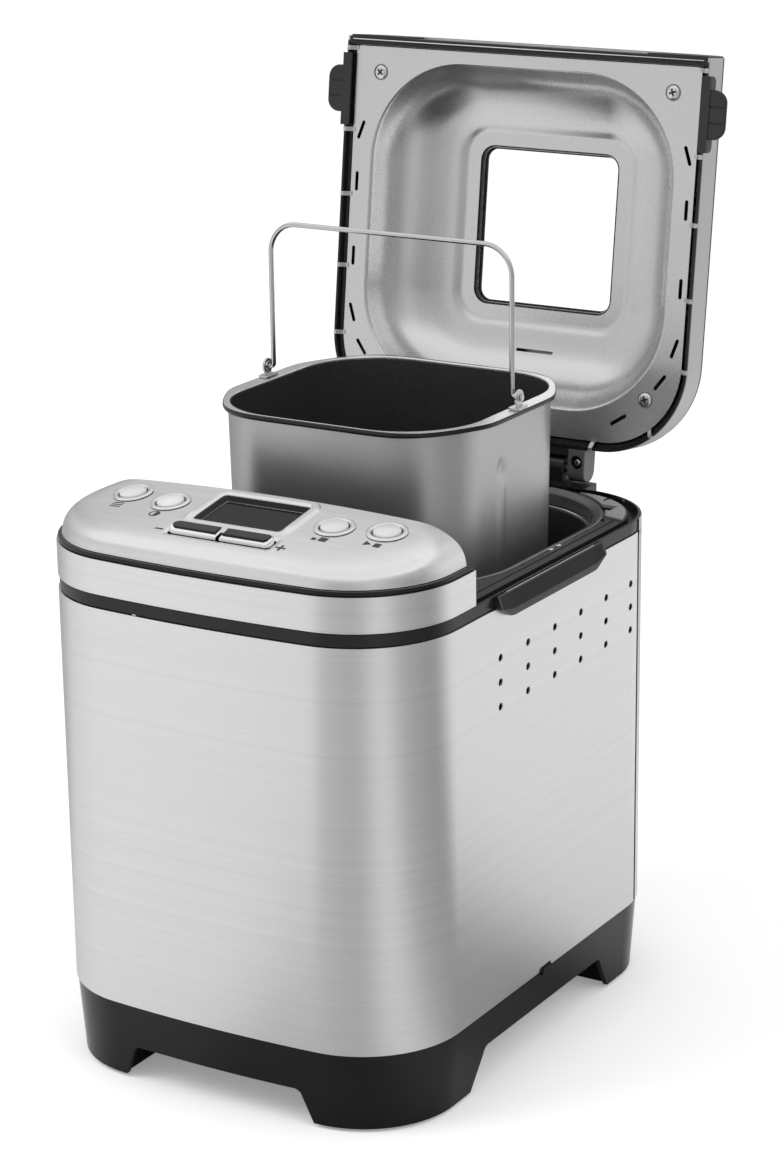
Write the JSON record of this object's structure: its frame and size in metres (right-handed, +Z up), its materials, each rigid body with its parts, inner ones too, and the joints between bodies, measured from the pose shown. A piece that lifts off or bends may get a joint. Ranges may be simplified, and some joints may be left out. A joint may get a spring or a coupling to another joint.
{
  "type": "bread machine",
  "caption": "Countertop bread machine: steel wrap on a black arched base, hinged lid with a window, sloping button panel, lift-out baking pan with a bail, belt-driven kneading paddle.",
  "frame": {"origin": "on the standing surface, below the middle of the box round the machine as it stands open", "axes": "+Z up, +X to the right along the front, +Y from the front to the hinge side"},
  "size_m": [0.265, 0.3956, 0.5312],
  "materials": {
    "steel_wrap": "horizontally brushed stainless sheet",
    "black_satin": "satin black moulding",
    "black_gloss": "polished black moulding",
    "rubber": "soft black rubber",
    "liner_metal": "pressed satin aluminium",
    "inner_steel": "plain galvanised steel",
    "pan_metal": "satin cast aluminium with a dark release coat inside",
    "bright_trim": "bright plated",
    "cap_white": "pearl white moulding",
    "display_black": "dark display tray",
    "display_body": "display block",
    "window": "clear tempered glass",
    "circuit_board": "green circuit board",
    "bronze": "sintered bronze"
  },
  "bodies": {
    "machine": {"outer_wrap": "steel_wrap", "rear_panel": "steel_wrap", "housing_band": "steel_wrap", "control_panel": "steel_wrap", "deck_frame": "black_satin", "handle_right": "black_satin", "handle_left": "black_satin", "housing_frame": "black_satin", "hinge_tower": "black_satin", "cord_inlet": "black_satin", "base_skirt": "black_gloss", "drive_belt": "rubber", "foot_front_right": "rubber", "foot_front_left": "rubber", "foot_rear_right": "rubber", "foot_rear_left": "rubber", "pan_socket": "liner_metal", "chassis_plate": "inner_steel", "baking_chamber": "inner_steel", "heater_element": "inner_steel", "hinge_pin": "inner_steel", "motor": "inner_steel", "ring_program": "bright_trim", "ring_crust": "bright_trim", "ring_size": "bright_trim", "ring_start": "bright_trim", "lcd_window": "display_black", "lcd_module": "display_body", "control_board": "circuit_board", "power_board": "circuit_board", "shaft_bearing": "bronze", "temperature_sensor": "bronze"},
    "lid": {"lid_band": "steel_wrap", "lid_frame": "black_satin", "lid_cover": "steel_wrap", "lid_liner": "liner_metal", "window_glass": "window", "hinge_arm_right": "black_satin", "hinge_arm_left": "black_satin", "grip_right": "black_satin", "grip_left": "black_satin", "liner_screw_front_right": "bright_trim", "liner_screw_front_left": "bright_trim", "liner_screw_rear_right": "bright_trim", "liner_screw_rear_left": "bright_trim"},
    "pan": {"pan_body": "pan_metal", "pan_ear_right": "bright_trim", "pan_ear_left": "bright_trim"},
    "bail": {"bail": "bright_trim"},
    "paddle": {"paddle_shaft": "inner_steel", "kneading_paddle": "pan_metal"},
    "drive": {"drive_shaft": "inner_steel", "drive_pulley": "black_satin"},
    "motor_rotor": {"motor_pulley": "inner_steel"},
    "button_program": {"button_program": "cap_white"},
    "button_crust": {"button_crust": "cap_white"},
    "button_size": {"button_size": "cap_white"},
    "button_start": {"button_start": "cap_white"},
    "key_plus": {"key_plus": "bright_trim"},
    "key_minus": {"key_minus": "bright_trim"}
  },
  "joints": [
    {"name": "lid_hinge", "type": "hinge", "parent": "machine", "child": "lid", "pos_m": [0, 0.12852, 0.288], "axis": [1, 0, 0], "range_deg": [0, 97.2]},
    {"name": "pan_lift", "type": "slide", "parent": "machine", "child": "pan", "axis": [0, 0, 1], "range_m": [-0.095, 0]},
    {"name": "bail_swing", "type": "hinge", "parent": "pan", "child": "bail", "pos_m": [0, -0.00148, 0.3631], "axis": [1, 0, 0], "range_deg": [0, 80]},
    {"name": "drive_spin", "type": "hinge", "parent": "machine", "child": "drive", "pos_m": [0, -0.00148, 0.068], "axis": [0, 0, 1], "continuous": true},
    {"name": "motor_spin", "type": "hinge", "parent": "machine", "child": "motor_rotor", "pos_m": [0, -0.15078, 0.068], "axis": [0, 0, 1], "continuous": true},
    {"name": "paddle_spin", "type": "hinge", "parent": "pan", "child": "paddle", "pos_m": [0, -0.00148, 0.2], "axis": [0, 0, 1], "continuous": true},
    {"name": "program_press", "type": "slide", "parent": "machine", "child": "button_program", "axis": [-0.0458, -0.1628, 0.9856], "range_m": [-0.0012, 0], "stiffness_N_per_m": 500, "springref_m": 0.001},
    {"name": "crust_press", "type": "slide", "parent": "machine", "child": "button_crust", "axis": [-0.0296, -0.1628, 0.9862], "range_m": [-0.0012, 0], "stiffness_N_per_m": 500, "springref_m": 0.001},
    {"name": "size_press", "type": "slide", "parent": "machine", "child": "button_size", "axis": [0.0296, -0.1628, 0.9862], "range_m": [-0.0012, 0], "stiffness_N_per_m": 500, "springref_m": 0.001},
    {"name": "start_press", "type": "slide", "parent": "machine", "child": "button_start", "axis": [0.0458, -0.1628, 0.9856], "range_m": [-0.0012, 0], "stiffness_N_per_m": 500, "springref_m": 0.001},
    {"name": "plus_press", "type": "slide", "parent": "machine", "child": "key_plus", "axis": [0, -0.1628, 0.9867], "range_m": [-0.0012, 0], "stiffness_N_per_m": 500, "springref_m": 0.001},
    {"name": "minus_press", "type": "slide", "parent": "machine", "child": "key_minus", "axis": [0, -0.1628, 0.9867], "range_m": [-0.0012, 0], "stiffness_N_per_m": 500, "springref_m": 0.001}
  ],
  "couplings": [
    {"joint": "pan_lift", "follows": "lid_hinge", "m_per_rad": -0.05599},
    {"joint": "bail_swing", "follows": "lid_hinge", "ratio": 0.823},
    {"joint": "motor_spin", "follows": "drive_spin", "ratio": 5},
    {"joint": "paddle_spin", "follows": "drive_spin", "ratio": 1}
  ]
}
